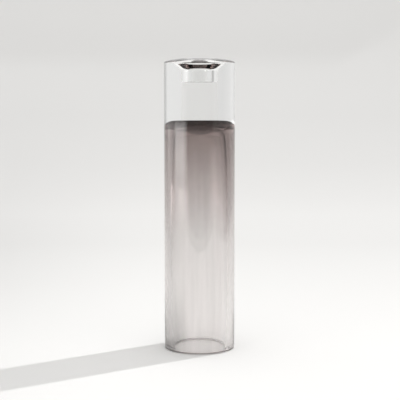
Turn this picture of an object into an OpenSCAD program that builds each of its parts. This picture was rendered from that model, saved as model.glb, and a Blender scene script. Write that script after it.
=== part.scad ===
// Glass cylinder vase, standing on its open mouth: a clear cased wall with a
// solid head that holds a candle socket, blown over a smoky inner bubble.
// Millimetres, +Z up, origin at the centre of the mouth, on the table.

/* [Outside] */
// Outer diameter of the glass cylinder
outer_d = 62; // [58:1:76]
// Height of the straight side, up to the edge of the crown
side_h = 252; // [235:1:300]
// Rise of the crown above its edge, measured on the axis
crown_h = 4.5; // [2:0.1:6]
// Rounding of the ground outer edge of the mouth
foot_round = 0.8; // [0.4:0.1:1.2]

/* [Candle socket] */
// Straight bore of the candle socket
socket_d = 21.6; // [20:0.1:24]
// Depth of the socket below the edge of the crown
socket_depth = 16.4; // [12:0.1:22]
// Rounding between the socket's wall and its floor
socket_round = 0.3; // [0.2:0.1:2]
// Width of the socket's mouth, where it opens in the crown
socket_mouth_d = 30; // [26:0.5:34]
// Widest inside width of the flare, just below the mouth
flare_d = 31; // [26:0.5:34]
// Depth of the flare's widest ring below the edge of the crown
flare_top = 0.4; // [0:0.1:2]
// Depth at which the bore starts to open out
flare_start = 5.5; // [4:0.1:8]

/* [Smoky bubble] */
// Height of the closed end of the smoky bubble above the mouth
bubble_h = 202.2; // [180:0.1:210]
// Length over which the bubble's shoulder runs into its side
shoulder_h = 100; // [80:1:120]
// Widest inside diameter of the bubble
cavity_d = 50; // [44:0.5:52]
// Inside diameter at the mouth
mouth_d = 46.4; // [42:0.1:50]
// Length over which the inside narrows to the mouth
mouth_h = 45; // [20:1:60]

/* [Smoky glass] */
// Thickness of the smoky glass at the closed end
end_t = 4.5; // [2:0.1:6]
// Width of the drop of glass that hangs in the closed end
drop_d = 22.4; // [10:0.1:30]
// Height of that drop
drop_h = 6; // [2:0.1:8]
// Thickness of the smoky glass in the side, below the shoulder
side_t = 1.6; // [1.2:0.1:2.4]
// Thickness of the smoky glass at the mouth
mouth_t = 0.8; // [0.6:0.1:1.2]
// Rounding of the inner edge of the mouth
lip_round = 0.5; // [0.2:0.1:0.6]

/* [Hidden] */
$fn = 96;
outer_r = outer_d / 2;
socket_r = socket_d / 2;
socket_z = side_h - socket_depth;
mouth_r = socket_mouth_d / 2;
flare_r = flare_d / 2;
drop_r = drop_d / 2;
rim_angle = acos(mouth_r / outer_r);
rim_z = side_h + crown_h * sin(rim_angle);
cut = 1;
crown_steps = 28;
corner_cuts = 3;
drop_steps = 10;
shoulder_steps = 30;
side_steps = 14;
mouth_steps = 9;
round_steps = 6;
// How square the shoulder is: a larger power gives a flatter end and a tighter corner
cavity_power = 15;
casing_power = 9;

// Quarter circle of radius r round (x, z), between two angles
function arc(x, z, r, from, to) =
    [for (i = [0 : round_steps]) let (a = from + (to - from) * i / round_steps) [x + r * cos(a), z + r * sin(a)]];

// How much the bubble has drawn in at height z, near the mouth
function mouth_in(z) = (cavity_d - mouth_d) / 2 * pow(max(0, 1 - z / mouth_h), 2);

// Thickness of the smoky glass in the side, thinning evenly towards the mouth
function smoke_t(z) = mouth_t + (side_t - mouth_t) * min(1, z / (bubble_h - shoulder_h));

// Radius of the cavity (smoke 0) or of the smoky glass round it (smoke 1), below the shoulder
function side_r(z, smoke) = cavity_d / 2 - mouth_in(z) + smoke * smoke_t(z);

// Shoulder: a squared quarter ellipse from the middle of the closed end down to the side
function shoulder(end_z, power, smoke) = [
    for (i = [0 : shoulder_steps])
        let (a = 90 * pow(i / shoulder_steps, 1.5), z = end_z - shoulder_h * (1 - cos(a)))
        [side_r(z, smoke) * pow(sin(a), 2 / power), z]
];

// Side, from below the shoulder down to the mouth, with closer steps where the mouth narrows
function side(end_z, smoke, last_z) = concat(
    [for (i = [1 : side_steps])
        let (z = end_z - shoulder_h - (end_z - shoulder_h - mouth_h) * i / side_steps) [side_r(z, smoke), z]],
    [for (i = [1 : mouth_steps])
        let (z = mouth_h + (last_z - mouth_h) * i / mouth_steps) [side_r(z, smoke), z]]
);

// Drop of glass in the middle of the cavity's closed end: a half ellipse, from the axis outwards
function drop(end_z) = [
    for (i = [0 : drop_steps])
        let (a = 90 * i / drop_steps) [drop_r * sin(a), end_z - drop_h * cos(a)]
];

// Half outlines, from the axis at the closed end to the mouth
cavity_z = bubble_h - end_t;
cavity_line = concat(
    drop(cavity_z),
    [for (p = shoulder(cavity_z, cavity_power, 0)) if (p[0] > drop_r + 0.5) p],
    side(cavity_z, 0, lip_round)
);
bubble_line = concat(shoulder(bubble_h, casing_power, 1), side(bubble_h, 1, 0));

function reversed(line) = [for (i = [len(line) - 1 : -1 : 0]) line[i]];

// Crown: a flattened half ellipse that springs straight from the side
crown_line = [
    for (i = [0 : crown_steps])
        let (a = rim_angle * i / crown_steps) [outer_r * cos(a), side_h + crown_h * sin(a)]
];

// Cuts every corner of a line, the given number of times, which leaves a smooth curve
function rounded(line, times) = times == 0 ? line : rounded(concat(
    [line[0]],
    [for (i = [0 : len(line) - 2], share = [0.25, 0.75]) line[i] * (1 - share) + line[i + 1] * share],
    [line[len(line) - 1]]
), times - 1);

// Flare of the socket, from the straight bore up to its mouth in the crown
bore_end = [socket_r, side_h - flare_start];
widest = [flare_r, side_h - flare_top];
mouth = [mouth_r, rim_z];
flare_line = rounded(
    [bore_end - [0, 3], bore_end, (bore_end + widest) / 2, widest, (widest + mouth) / 2, mouth],
    corner_cuts
);

// Hollow for the candle: straight bore with a flat floor, opening out in a flare
module candle_socket() {
    rotate_extrude()
        polygon(concat(
            [[0, socket_z]],
            arc(socket_r - socket_round, socket_z + socket_round, socket_round, -90, 0),
            flare_line,
            [[mouth_r, rim_z + cut], [0, rim_z + cut]]
        ));
}

// Clear outer glass: the wall over the bubble and the solid head, in one piece
module clear_casing() {
    color([0.93, 0.95, 0.95, 0.35])
    difference() {
        rotate_extrude()
            polygon(concat(
                arc(outer_r - foot_round, foot_round, foot_round, -90, 0),
                crown_line,
                [[0, rim_z]],
                bubble_line
            ));
        candle_socket();
    }
}

// Smoky inner glass: the blown bubble that lines the cavity, open at the mouth
module smoke_lining() {
    color([0.42, 0.36, 0.35, 0.6])
    rotate_extrude()
        polygon(concat(
            bubble_line,
            arc(side_r(lip_round, 0) + lip_round, lip_round, lip_round, -90, -180),
            reversed(cavity_line)
        ));
}

clear_casing();
smoke_lining();
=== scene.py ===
import bmesh
import bpy
import math
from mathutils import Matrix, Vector


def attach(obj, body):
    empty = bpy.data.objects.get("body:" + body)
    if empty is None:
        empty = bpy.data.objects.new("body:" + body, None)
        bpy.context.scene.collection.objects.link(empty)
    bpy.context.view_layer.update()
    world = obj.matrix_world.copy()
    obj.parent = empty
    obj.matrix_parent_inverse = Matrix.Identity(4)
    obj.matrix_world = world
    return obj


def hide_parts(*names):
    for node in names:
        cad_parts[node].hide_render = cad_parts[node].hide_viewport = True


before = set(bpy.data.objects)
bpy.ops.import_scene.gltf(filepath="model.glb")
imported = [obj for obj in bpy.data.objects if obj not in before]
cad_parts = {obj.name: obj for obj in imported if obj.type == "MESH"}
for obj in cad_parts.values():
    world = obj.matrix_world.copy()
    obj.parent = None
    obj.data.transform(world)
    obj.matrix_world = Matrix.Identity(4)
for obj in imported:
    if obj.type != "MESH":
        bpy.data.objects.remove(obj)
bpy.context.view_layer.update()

# The vase's outline, in millimetres, as in the CAD part
OUTER_R = 31.0
SIDE_H = 252.0
CROWN_H = 4.5
FOOT_ROUND = 0.8
SOCKET_R = 10.8
SOCKET_FLOOR = 235.6
SOCKET_ROUND = 0.3
MOUTH_OF_SOCKET_R = 15.0
# Corners of the socket's flare before smoothing, as (radius, height): its widest ring, and the bore's end
WIDEST = (15.5, 251.6)
BORE_END = (10.8, 246.5)
BUBBLE_H = 202.2
SHOULDER_H = 100.0
CAVITY_R = 25.0
MOUTH_R = 23.2
MOUTH_H = 45.0
END_T = 4.5
SIDE_T = 1.6
MOUTH_T = 0.8
LIP_ROUND = 0.5
BOSS_R = 11.2
BOSS_H = 6.0
CAVITY_POWER = 15
CASING_POWER = 9
# How far the smoky glass stays inside the clear glass, so that their faces don't coincide
GAP = 0.03
# The wall of the cavity begins this far outside the drop of glass
BOSS_MARGIN = 0.5

# Turned meshes: sides to a ring, and the extra rings beside an edge, in millimetres and radians
MM = 0.001
SEGMENTS = 192
LEAST_STEP = 0.02
EDGE_STEP = 0.1
SHARP_BEND = 0.2

# Glass. Tints are what is left of the light after both walls, by height above the mouth in millimetres
GLASS_IOR = 1.5
FADE = [(0, 0.80), (100, 0.78), (150, 0.55), (190, 0.34), (197, 0.28), (198, 0.09), (202, 0.04)]
# The same where light crosses the glass at a slant
SLANT_FADE = [(0, 0.88), (50, 0.84), (90, 0.74), (120, 0.50), (150, 0.30), (190, 0.11), (197, 0.08),
              (198, 0.03), (202, 0.003)]
# How far the tint goes from FADE to SLANT_FADE, by 1 - the cosine of the slant: partly the longer path
# through slanted glass, partly painted shade for dark bands. It falls again only to fit the photo
SLANT = [(0, 0), (0.1, 0.16), (0.2, 0.4), (0.28, 0.38), (0.33, 0.12), (0.38, 0)]
# Painted shade: the dark line at the rim of the cavity, added to fit the photo: its tint by height, and its
# share by slant
RIM_FADE = [(0, 1.0), (90, 0.9), (125, 0.6), (150, 0.27), (160, 0.12), (175, 0.01), (190, 0.003),
            (196, 0.1)]
RIM_SHARE = [(0, 0), (0.56, 0), (0.74, 1), (1, 1)]
# How much more the smoky glass takes from green and blue than from red, as powers. Where red falls below half
# of NEUTRAL_SUM, the colour turns neutral again
GREEN_POWER = 0.2
BLUE_POWER = 0.24
NEUTRAL_SUM = 0.8
# Streaks drawn out along the wall: their strength, how many to the metre along X, Y and Z, and noise detail
STREAKS = 0.05
STREAK_SCALE = (170, 170, 6)
STREAK_DETAIL = 3.0
# Painted shade on the left side near the mouth: its strength, and where it begins and is full, in metres
# along X and Z
LOW_LEFT_SHADE = 0.22
LOW_LEFT_SHADE_X = (-0.006, -0.024)
LOW_LEFT_SHADE_Z = (0.07, 0.0)
# Seeds, the fine bubbles in the closed end: how many to the metre, their size as a share of the spacing, the
# part of that size within which they are full, their colour, and the heights in metres where they set in
SEED_SCALE = 420
SEED_SIZE = 0.17
SEED_FULL = 0.6
SEED_COLOUR = (0.9, 0.9, 0.9, 1)
SEED_Z = (0.1975, 0.1995)
# Clear glass: strength of its ripple, height of a full ripple in metres, its scale, and the colour of a cord
RIPPLE = 0.03
RIPPLE_HEIGHT = 0.001
RIPPLE_SCALE = (60, 60, 15)
CORD_COLOUR = (0.975, 0.985, 0.98, 1)
# Noise values between which streaks and grain, and cords, go from none to full
NOISE_SPAN = (0.3, 0.7)
CORD_SPAN = (0.35, 0.65)
# Ground glass: grain to the metre, its roughness from and to, and the colour of the smoky edge
GRAIN_SCALE = 900.0
GROUND_ROUGHNESS = (0.3, 0.5)
LIP_COLOUR = (0.60, 0.48, 0.47, 1)

# Stage: a white table that runs up into a backdrop, in metres. How pale the paper is, by distance behind:
# painted shade and light in place of how the lamps fall on table and backdrop
PAPER = [(0, 0.88), (0.3, 0.81), (0.6, 0.75), (1.2, 0.75), (1.35, 0.775), (1.45, 0.83), (1.6, 0.91)]
PAPER_LENGTH = 1.7
PAPER_ROUGHNESS = 0.9
TABLE_FRONT = -0.58
TABLE_BACK = 0.9
TABLE_HALF = 0.66
BACKDROP_HALF = 0.5
BACKDROP_R = 0.8
# The paper lies this far under the foot, so that their faces don't coincide
UNDER_FOOT = 0.0001
# Shade on the left of the paper: its strength, its most, its curve, and its two ends along X and along Y
LEFT_SHADE = 0.1
LEFT_MOST = 0.2
LEFT_CURVE = 1.3
LEFT_X = (-0.22, -0.05)
LEFT_Y = (1.5, 0.3)
# Soft glow on the paper inside the mouth, in place of the light that the glass gathers there
CAUSTIC = 0.25
CAUSTIC_R = 0.0235
CAUSTIC_EDGE = 0.002
CAUSTIC_COLOUR = (1.0, 0.97, 0.95, 1)

# Studio. Bright opening low on the left: its light by the direction's Z, and its share by azimuth in degrees
OPENING = [(-0.16, 1.0), (-0.145, 1.0), (-0.12, 2.4), (-0.085, 6.0), (-0.06, 6.0), (-0.052, 1.1)]
OPENING_SHARE = [(-180, 0.0), (-130, 0.0), (-120, 0.25), (-90, 0.25), (-82, 1.0), (-54, 1.0), (-38, 0.0),
                 (180, 0.0)]
OPENING_EDGE = 0.002
# Light of the dark side of the room, behind the camera
DARK = 0.14
# Light by azimuth, in degrees to the right of the camera's side: the walls, and the ceiling above
WALLS = [(-180, 0.75), (-150, 0.75), (-125, 0.88), (-54, 1.15), (-38, DARK), (37, DARK), (49, 0.55),
         (112, 0.5), (124, 0.84), (180, 0.75)]
CEILING = [(-180, 0.9), (-120, 0.9), (-100, 0.85), (-60, 0.85), (-40, 1.0), (40, 1.0), (60, 0.85),
           (180, 0.9)]
# The walls turn into the ceiling between these values of the direction's Z
CEILING_FROM = 0.12
CEILING_TO = 0.25
WORLD_LIGHT = 1.0
# Key light: where it stands, its strength, and how wide it looks in degrees
KEY_AZIMUTH = math.radians(35.2)
KEY_HEIGHT = math.radians(40)
KEY_LIGHT = 1.4
KEY_SIZE = 1.5

# Camera: its place in metres, how far it looks down in degrees, its lens and sensor in millimetres. Then how
# often light may bounce
CAMERA_PLACE = (0.0004, -1.074, 0.260)
CAMERA_DOWN = 6.8
CAMERA_LENS = 110.5
CAMERA_SENSOR = 36
GLASS_BOUNCES = 24
GLOSSY_BOUNCES = 12


def arc(x, z, r, start, end, steps=8):
    """Points of a circular arc round (x, z), from start to end in degrees."""
    angles = [math.radians(start + (end - start) * i / steps) for i in range(steps + 1)]
    return [(x + r * math.cos(a), z + r * math.sin(a)) for a in angles]


def side_r(z, smoke):
    """Radius of the cavity (smoke 0) or of the smoky glass round it (smoke 1), below the shoulder."""
    mouth_in = (CAVITY_R - MOUTH_R) * max(0.0, 1 - z / MOUTH_H) ** 2
    smoke_t = MOUTH_T + (SIDE_T - MOUTH_T) * min(1.0, z / (BUBBLE_H - SHOULDER_H))
    return CAVITY_R - mouth_in + smoke * smoke_t


def bubble_line(end_z, power, smoke, last_z, shoulder_steps=60, side_steps=24, mouth_steps=18):
    """Half outline of the blown bubble, from the axis at its closed end down to the mouth."""
    line = []
    for i in range(shoulder_steps + 1):
        a = math.radians(90 * (i / shoulder_steps) ** 1.5)
        z = end_z - SHOULDER_H * (1 - math.cos(a))
        line.append((side_r(z, smoke) * math.sin(a) ** (2 / power), z))
    side_top = end_z - SHOULDER_H
    line += [(side_r(z, smoke), z) for z in
             (side_top + (MOUTH_H - side_top) * i / side_steps for i in range(1, side_steps + 1))]
    line += [(side_r(z, smoke), z) for z in
             (MOUTH_H + (last_z - MOUTH_H) * i / mouth_steps for i in range(1, mouth_steps + 1))]
    return line


def boss_line(end_z, steps=24):
    """Half outline of the drop of glass in the closed end of the cavity, from the axis outwards."""
    turns = [math.radians(90 * i / steps) for i in range(steps + 1)]
    return [(BOSS_R * math.sin(a), end_z - BOSS_H * math.cos(a)) for a in turns]


def crown_z(r):
    """Height of the crown at radius r."""
    return SIDE_H + CROWN_H * math.sqrt(1 - (r / OUTER_R) ** 2)


def crown_line(steps=60):
    """Half-ellipse crown, from the side in to the mouth of the socket flare."""
    last = math.acos(MOUTH_OF_SOCKET_R / OUTER_R)
    turns = [last * (i / steps) ** 2 for i in range(4, steps + 1)]
    return [(OUTER_R * math.cos(a), SIDE_H + CROWN_H * math.sin(a)) for a in turns]


def rounded(points, times=4):
    """Cuts the corners of a line again and again, which leaves a smooth curve."""
    for _ in range(times):
        line = [points[0]]
        for (r, z), (next_r, next_z) in zip(points, points[1:]):
            line += [(0.75 * r + 0.25 * next_r, 0.75 * z + 0.25 * next_z),
                     (0.25 * r + 0.75 * next_r, 0.25 * z + 0.75 * next_z)]
        points = line + [points[-1]]
    return points


def flare_line():
    """Flare of the socket, from the crown down to the straight bore."""
    rim = (MOUTH_OF_SOCKET_R, crown_z(MOUTH_OF_SOCKET_R))
    upper = ((rim[0] + WIDEST[0]) / 2, (rim[1] + WIDEST[1]) / 2)
    lower = ((WIDEST[0] + BORE_END[0]) / 2, (WIDEST[1] + BORE_END[1]) / 2)
    return rounded([rim, upper, WIDEST, lower, BORE_END, (SOCKET_R, BORE_END[1] - 3)])


def outer_line():
    """Half outline of the clear glass against the air, from the foot over the crown and into the socket."""
    side = [(OUTER_R, FOOT_ROUND + (SIDE_H - FOOT_ROUND) * i / 40) for i in range(1, 41)]
    low = SOCKET_FLOOR + SOCKET_ROUND
    wall = [(SOCKET_R, low + (BORE_END[1] - 3 - low) * (1 - i / 8)) for i in range(1, 8)]
    floor = arc(SOCKET_R - SOCKET_ROUND, SOCKET_FLOOR + SOCKET_ROUND, SOCKET_ROUND, 0, -90)
    middle = [((SOCKET_R - SOCKET_ROUND) * (1 - i / 4), SOCKET_FLOOR) for i in range(1, 5)]
    return side + crown_line() + flare_line() + wall + floor + middle


def supported(points):
    """Extra points beside the ends of long straight runs, so that smooth shading leaves them flat."""
    lengths = [math.dist(p[:2], q[:2]) for p, q in zip(points, points[1:])]
    line = [points[0]]
    for i, (p, q) in enumerate(zip(points, points[1:])):
        for near in (True, False):
            other = i - 1 if near else i + 1
            if not 0 <= other < len(lengths):
                continue
            a, b, c = (points[other], p, q) if near else (p, q, points[other + 1])
            bend = abs(math.remainder(math.atan2(c[1] - b[1], c[0] - b[0])
                                      - math.atan2(b[1] - a[1], b[0] - a[0]), 2 * math.pi))
            step = max(LEAST_STEP, min(lengths[other], EDGE_STEP if bend > SHARP_BEND else math.inf))
            if bend > 1e-4 and step < lengths[i] / 3:
                share = step / lengths[i] if near else 1 - step / lengths[i]
                line.append((p[0] + (q[0] - p[0]) * share, p[1] + (q[1] - p[1]) * share, q[2]))
        line.append(q)
    return line


def lathe(name, lines):
    """A closed solid of revolution. lines is a list of (half outline, material slot), joined end to end."""
    points = []
    for line, slot in lines:
        points += [(r, z, slot) for r, z in line if not points or math.dist((r, z), points[-1][:2]) > 0.01]
    points = supported(points)
    shape = bmesh.new()
    rings = []
    for r, z, _ in points:
        count = SEGMENTS if r > 1e-6 else 1
        turns = [2 * math.pi * s / SEGMENTS for s in range(count)]
        rings.append([shape.verts.new((r * MM * math.cos(a), r * MM * math.sin(a), z * MM)) for a in turns])
    pairs = list(zip(rings, rings[1:], [slot for _, _, slot in points[1:]]))
    if len(rings[0]) > 1:
        pairs.append((rings[-1], rings[0], points[0][2]))
    for low, high, slot in pairs:
        if len(low) == 1 and len(high) == 1:
            continue
        for s in range(SEGMENTS):
            n = (s + 1) % SEGMENTS
            if len(low) == 1:
                face = shape.faces.new((low[0], high[n], high[s]))
            elif len(high) == 1:
                face = shape.faces.new((low[s], low[n], high[0]))
            else:
                face = shape.faces.new((low[s], low[n], high[n], high[s]))
            face.smooth = True
            face.material_index = slot
    bmesh.ops.recalc_face_normals(shape, faces=shape.faces)
    mesh = bpy.data.meshes.new(name)
    shape.to_mesh(mesh)
    shape.free()
    piece = bpy.data.objects.new(name, mesh)
    bpy.context.scene.collection.objects.link(piece)
    return piece


def new_material(name):
    """A new material, with its node tree and its shader."""
    material = bpy.data.materials.new(name)
    material.use_nodes = True
    return material, material.node_tree, material.node_tree.nodes["Principled BSDF"]


def feed(tree, socket, value):
    """Links a socket to another node's output, or sets it to a number or a colour."""
    if isinstance(value, bpy.types.NodeSocket):
        tree.links.new(value, socket)
    else:
        socket.default_value = value


def math_node(tree, operation, *values):
    """Result of a sum on numbers and outputs."""
    node = tree.nodes.new("ShaderNodeMath")
    node.operation = operation
    for socket, value in zip(node.inputs, values):
        feed(tree, socket, value)
    return node.outputs[0]


def scaled(tree, colour, factor):
    """A colour made lighter or darker."""
    node = tree.nodes.new("ShaderNodeVectorMath")
    node.operation = "SCALE"
    feed(tree, node.inputs[0], colour)
    feed(tree, node.inputs["Scale"], factor)
    return node.outputs[0]


def map_range(tree, value, start, end, low=0.0, high=1.0, kind="SMOOTHSTEP", clamp=True):
    """Value from start to end, mapped to low to high."""
    node = tree.nodes.new("ShaderNodeMapRange")
    node.interpolation_type = kind
    node.clamp = clamp
    for socket, number in (("From Min", start), ("From Max", end), ("To Min", low), ("To Max", high)):
        node.inputs[socket].default_value = number
    feed(tree, node.inputs["Value"], value)
    return node.outputs[0]


def mix_colours(tree, share, first, second):
    """From the first colour to the second, by share."""
    node = tree.nodes.new("ShaderNodeMix")
    node.data_type = "RGBA"
    for socket, value in (("Factor", share), ("A", first), ("B", second)):
        feed(tree, node.inputs[socket], value)
    return node.outputs["Result"]


def colour_ramp(tree, value, stops):
    """Colour by value, through stops of (place, colour) in rising order."""
    node = tree.nodes.new("ShaderNodeValToRGB")
    elements = node.color_ramp.elements
    for index, (place, colour) in enumerate(stops):
        stop = elements[index] if index < 2 else elements.new(place)
        stop.position = place
        stop.color = colour
    feed(tree, node.inputs[0], value)
    return node.outputs[0]


def place_on_object(tree):
    """The point's place on its object, in metres, and the same as X, Y and Z."""
    position = tree.nodes.new("ShaderNodeTexCoord").outputs["Object"]
    parts = tree.nodes.new("ShaderNodeSeparateXYZ")
    tree.links.new(position, parts.inputs[0])
    return position, parts.outputs


def drawn_out_noise(tree, scale, detail):
    """Noise over the object, with its own scale along each axis."""
    stretch = tree.nodes.new("ShaderNodeMapping")
    stretch.inputs["Scale"].default_value = scale
    noise = tree.nodes.new("ShaderNodeTexNoise")
    noise.inputs["Scale"].default_value = 1.0
    noise.inputs["Detail"].default_value = detail
    tree.links.new(place_on_object(tree)[0], stretch.inputs["Vector"])
    tree.links.new(stretch.outputs[0], noise.inputs["Vector"])
    return noise.outputs[0]


def pale(light):
    """A pale, slightly warm colour of that light."""
    return (light, light * 0.995, light * 0.985, 1)


def smoke_colour(through):
    """Colour of light that has passed one wall of smoky glass: through is what is left of its red."""
    depth = max(through, NEUTRAL_SUM - through)
    return (through, through * depth ** GREEN_POWER, through * depth ** BLUE_POWER, 1)


def smoke_tint(tree, fade):
    """Smoky tint that fades with height, for one of the two walls."""
    top = BUBBLE_H + 1
    share = math_node(tree, "DIVIDE", place_on_object(tree)[1]["Z"], top * MM)
    return colour_ramp(tree, share, [(z / top, smoke_colour(math.sqrt(through))) for z, through in fade])


def slant_share(tree, table):
    """A share that depends on how much light slants across the surface."""
    facing = tree.nodes.new("ShaderNodeLayerWeight")
    facing.inputs["Blend"].default_value = 0.5
    stops = [(slant, (share, share, share, 1)) for slant, share in table]
    return colour_ramp(tree, facing.outputs["Facing"], stops)


def streaks_and_painted_shade(tree):
    """How much of the light the smoky glass lets through beside its fade: its streaks, and painted shade on
    the lower left near the mouth.
    """
    parts = place_on_object(tree)[1]
    streaks = drawn_out_noise(tree, STREAK_SCALE, STREAK_DETAIL)
    drawn = map_range(tree, streaks, *NOISE_SPAN, 1 - STREAKS / 2, 1 + STREAKS / 2)
    # Painted shade: darker on the left side, low near the mouth
    side = map_range(tree, parts["X"], *LOW_LEFT_SHADE_X)
    low = map_range(tree, parts["Z"], *LOW_LEFT_SHADE_Z)
    painted_left_shade = math_node(tree, "MULTIPLY", math_node(tree, "MULTIPLY", side, low), LOW_LEFT_SHADE)
    return math_node(tree, "MULTIPLY", drawn, math_node(tree, "SUBTRACT", 1.0, painted_left_shade))


def seeds(tree):
    """Where a seed lies in the closed end."""
    position, parts = place_on_object(tree)
    cells = tree.nodes.new("ShaderNodeTexVoronoi")
    cells.inputs["Scale"].default_value = SEED_SCALE
    tree.links.new(position, cells.inputs["Vector"])
    near = map_range(tree, cells.outputs["Distance"], SEED_SIZE, SEED_SIZE * SEED_FULL)
    return math_node(tree, "MULTIPLY", near, map_range(tree, parts["Z"], *SEED_Z))


def glass_material(name, roughness=0.0):
    """A new material of solid glass that bends light."""
    material, tree, shader = new_material(name)
    shader.inputs["Roughness"].default_value = roughness
    shader.inputs["IOR"].default_value = GLASS_IOR
    shader.inputs["Transmission Weight"].default_value = 1.0
    return material, tree, shader


def clear_glass():
    """Clear glass against the air: polished, with a faint ripple and cords left by the blowing."""
    material, tree, shader = glass_material("clear_glass")
    ripple = drawn_out_noise(tree, RIPPLE_SCALE, 1.0)
    bump = tree.nodes.new("ShaderNodeBump")
    bump.inputs["Strength"].default_value = RIPPLE
    bump.inputs["Distance"].default_value = RIPPLE_HEIGHT
    tree.links.new(ripple, bump.inputs["Height"])
    tree.links.new(bump.outputs[0], shader.inputs["Normal"])
    cord = mix_colours(tree, map_range(tree, ripple, *CORD_SPAN), (1, 1, 1, 1), CORD_COLOUR)
    tree.links.new(cord, shader.inputs["Base Color"])
    return material


def ground_glass(name, colour):
    """Glass ground fine where the vase stands."""
    material, tree, shader = glass_material(name)
    shader.inputs["Base Color"].default_value = colour
    grain = tree.nodes.new("ShaderNodeTexNoise")
    grain.inputs["Scale"].default_value = GRAIN_SCALE
    tree.links.new(place_on_object(tree)[0], grain.inputs["Vector"])
    rough = map_range(tree, grain.outputs[0], *NOISE_SPAN, *GROUND_ROUGHNESS)
    tree.links.new(rough, shader.inputs["Roughness"])
    return material


def unbent_glass(name):
    """A new material that light passes without bending, with its tree and the socket of its tint."""
    material, tree, shader = new_material(name)
    tree.nodes.remove(shader)
    clear = tree.nodes.new("ShaderNodeBsdfTransparent")
    tree.links.new(clear.outputs[0], tree.nodes["Material Output"].inputs[0])
    return material, tree, clear.inputs[0]


def fused_joint():
    """Where clear glass meets smoky glass: the same glass on both sides, so nothing bends."""
    return unbent_glass("fused_joint")[0]


def smoke_skin():
    """Smoky glass where it meets the clear glass: it tints without bending, with painted shade where the view
    slants and on the lower left near the mouth.
    """
    material, tree, tint = unbent_glass("smoke_skin")
    # Partly painted shade: the tint deepens where the view slants across the glass
    faded = mix_colours(tree, slant_share(tree, SLANT), smoke_tint(tree, FADE), smoke_tint(tree, SLANT_FADE))
    streaked_and_shaded = scaled(tree, faded, streaks_and_painted_shade(tree))
    tree.links.new(mix_colours(tree, seeds(tree), streaked_and_shaded, SEED_COLOUR), tint)
    return material


def smoky_glass():
    """Smoky glass against the air of the cavity, with a painted dark line of shade at its rim."""
    material, tree, shader = glass_material("smoky_glass")
    # Painted shade: a dark line where the view grazes the rim of the cavity
    rim = mix_colours(tree, slant_share(tree, RIM_SHARE), (1, 1, 1, 1), smoke_tint(tree, RIM_FADE))
    tree.links.new(rim, shader.inputs["Base Color"])
    return material


def clear_casing():
    """Clear outer glass with the solid head: the foot, the outside with the socket, and the joint."""
    foot = arc(OUTER_R - FOOT_ROUND, FOOT_ROUND, FOOT_ROUND, -90, 0)
    bubble = bubble_line(BUBBLE_H, CASING_POWER, 1, 0.0)
    casing = lathe("clear_casing_glass", [(foot, 2), (outer_line(), 0), (bubble, 1)])
    for material in (clear_glass(), fused_joint(), ground_glass("ground_foot", (1, 1, 1, 1))):
        casing.data.materials.append(material)
    return casing


def smoke_lining():
    """Smoky inner bubble: the joint, the ground edge of the mouth, and the cavity with its drop of glass."""
    bubble = bubble_line(BUBBLE_H, CASING_POWER, 1, 0.0)
    skin = [(max(0.0, r - GAP), z - GAP if z > 1 else z) for r, z in bubble]
    lip = arc(side_r(LIP_ROUND, 0) + LIP_ROUND, LIP_ROUND, LIP_ROUND, -90, -180)
    end_z = BUBBLE_H - END_T
    wall = [p for p in bubble_line(end_z, CAVITY_POWER, 0, LIP_ROUND) if p[0] > BOSS_R + BOSS_MARGIN]
    cavity = boss_line(end_z) + wall
    lining = lathe("smoke_lining_glass", [(skin, 0), (lip, 2), (cavity[::-1], 1)])
    for material in (smoke_skin(), smoky_glass(), ground_glass("ground_lip", LIP_COLOUR)):
        lining.data.materials.append(material)
    return lining


def white_paper():
    """White paper, with painted shade darker to the back and to the left, and painted light as a glow inside
    the mouth of the vase.
    """
    material, tree, shader = new_material("white_paper")
    shader.inputs["Roughness"].default_value = PAPER_ROUGHNESS
    shader.inputs["Specular IOR Level"].default_value = 0.0
    position, parts = place_on_object(tree)
    # Painted shade and light: the paper darker or paler by distance behind
    back = map_range(tree, parts["Y"], 0.0, PAPER_LENGTH, kind="LINEAR")
    paper = colour_ramp(tree, back, [(y / PAPER_LENGTH, pale(light)) for y, light in PAPER])
    # Painted shade on the left of the paper
    left = map_range(tree, parts["X"], *LEFT_X, 1.0, 0.0, "LINEAR", clamp=False)
    side = math_node(tree, "MAXIMUM", left, 0.0)
    depth = math_node(tree, "MULTIPLY", math_node(tree, "POWER", side, LEFT_CURVE), LEFT_SHADE)
    near = map_range(tree, parts["Y"], *LEFT_Y, kind="LINEAR")
    shade = math_node(tree, "MULTIPLY", math_node(tree, "MINIMUM", depth, LEFT_MOST), near)
    tree.links.new(scaled(tree, paper, math_node(tree, "SUBTRACT", 1.0, shade)), shader.inputs["Base Color"])
    # Painted light: a glow on the paper inside the mouth, in place of the light the glass gathers there
    flat = tree.nodes.new("ShaderNodeVectorMath")
    flat.operation = "MULTIPLY"
    flat.inputs[1].default_value = (1, 1, 0)
    radius = tree.nodes.new("ShaderNodeVectorMath")
    radius.operation = "LENGTH"
    tree.links.new(position, flat.inputs[0])
    tree.links.new(flat.outputs[0], radius.inputs[0])
    edge = (CAUSTIC_R, CAUSTIC_R - CAUSTIC_EDGE)
    glow = map_range(tree, radius.outputs["Value"], *edge, 0.0, CAUSTIC, "LINEAR")
    tree.links.new(glow, shader.inputs["Emission Strength"])
    shader.inputs["Emission Color"].default_value = CAUSTIC_COLOUR
    return material


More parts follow.
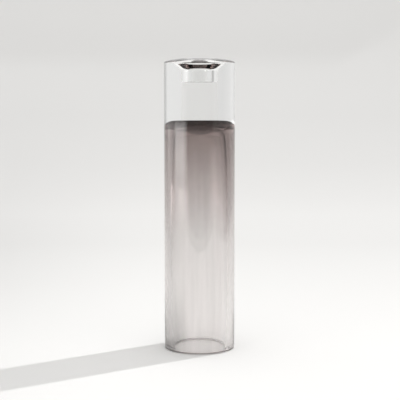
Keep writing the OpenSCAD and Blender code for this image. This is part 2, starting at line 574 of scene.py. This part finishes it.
def sweep():
    """The table and the backdrop, as one sheet of paper that curves up behind the vase."""
    profile = [(TABLE_FRONT, 0.0), (TABLE_BACK, 0.0)]
    turns = [math.radians(a) for a in range(5, 66, 5)]
    profile += [(TABLE_BACK + BACKDROP_R * math.sin(a), BACKDROP_R - BACKDROP_R * math.cos(a)) for a in turns]
    verts = []
    for y, z in profile:
        half = TABLE_HALF if z == 0 else BACKDROP_HALF
        verts += [(-half, y, z - UNDER_FOOT), (half, y, z - UNDER_FOOT)]
    faces = [(2 * i, 2 * i + 1, 2 * i + 3, 2 * i + 2) for i in range(len(profile) - 1)]
    mesh = bpy.data.meshes.new("sweep")
    mesh.from_pydata(verts, [], faces)
    mesh.polygons.foreach_set("use_smooth", [True] * len(faces))
    mesh.update()
    stage = bpy.data.objects.new("sweep", mesh)
    bpy.context.scene.collection.objects.link(stage)
    stage.data.materials.append(white_paper())
    return stage


def by_azimuth(tree, turn, table):
    """Light by azimuth. turn runs from 0, straight behind the vase, by the left past the camera to 1."""
    return colour_ramp(tree, turn, [(0.5 + degrees / 360, pale(light)) for degrees, light in table])


def studio_world():
    """Pale studio with a dark side behind the camera, a bright opening low on the left, and a ceiling."""
    world = bpy.data.worlds.new("studio")
    bpy.context.scene.world = world
    world.use_nodes = True
    tree = world.node_tree
    coords = tree.nodes.new("ShaderNodeTexCoord")
    parts = tree.nodes.new("ShaderNodeSeparateXYZ")
    tree.links.new(coords.outputs["Generated"], parts.inputs[0])
    towards_camera = math_node(tree, "MULTIPLY", parts.outputs["Y"], -1)
    angle = math_node(tree, "ARCTAN2", parts.outputs["X"], towards_camera)
    turn = math_node(tree, "MULTIPLY_ADD", angle, 0.5 / math.pi, 0.5)
    rise = parts.outputs["Z"]
    low, high = OPENING[0][0], OPENING[-1][0]
    opening = colour_ramp(tree, map_range(tree, rise, low, high, kind="LINEAR"),
                          [((z - low) / (high - low), pale(light)) for z, light in OPENING])
    below = map_range(tree, rise, high, high - OPENING_EDGE, kind="LINEAR")
    share = math_node(tree, "MULTIPLY", below, by_azimuth(tree, turn, OPENING_SHARE))
    wall = mix_colours(tree, share, by_azimuth(tree, turn, WALLS), opening)
    above = map_range(tree, rise, CEILING_FROM, CEILING_TO, kind="LINEAR")
    light = mix_colours(tree, above, wall, by_azimuth(tree, turn, CEILING))
    tree.links.new(light, tree.nodes["Background"].inputs["Color"])
    tree.nodes["Background"].inputs["Strength"].default_value = WORLD_LIGHT


def sun(name, strength, towards, size):
    """Light from a far lamp that stands in the direction towards and looks size degrees wide."""
    light = bpy.data.lights.new(name, "SUN")
    light.energy = strength
    light.angle = math.radians(size)
    lamp = bpy.data.objects.new(name, light)
    lamp.rotation_euler = Vector(towards).to_track_quat("Z", "Y").to_euler()
    bpy.context.scene.collection.objects.link(lamp)


def key_light():
    """The key light, from the right and behind, which throws the shadow to the front left."""
    level = math.cos(KEY_HEIGHT)
    towards = (math.cos(KEY_AZIMUTH) * level, math.sin(KEY_AZIMUTH) * level, math.sin(KEY_HEIGHT))
    sun("key", KEY_LIGHT, towards, KEY_SIZE)


def camera():
    """The camera, at the photo's height and tilt."""
    data = bpy.data.cameras.new("camera")
    data.sensor_width = CAMERA_SENSOR
    data.lens = CAMERA_LENS
    view = bpy.data.objects.new("camera", data)
    view.location = CAMERA_PLACE
    view.rotation_euler = (math.radians(90 - CAMERA_DOWN), 0, 0)
    bpy.context.scene.collection.objects.link(view)
    bpy.context.scene.camera = view


def view_settings():
    """Plain colours, and enough bounces for light to get through every wall of glass."""
    scene = bpy.context.scene
    scene.view_settings.view_transform = "Standard"
    scene.cycles.max_bounces = GLASS_BOUNCES
    scene.cycles.transmission_bounces = GLASS_BOUNCES
    scene.cycles.transparent_max_bounces = GLASS_BOUNCES
    scene.cycles.glossy_bounces = GLOSSY_BOUNCES


for piece, node, slot in ((clear_casing(), "clear_casing", "clear_glass"),
                          (smoke_lining(), "smoke_lining", "smoky_glass")):
    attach(piece, "root")
    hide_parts(node)
sweep()
studio_world()
key_light()
camera()
view_settings()
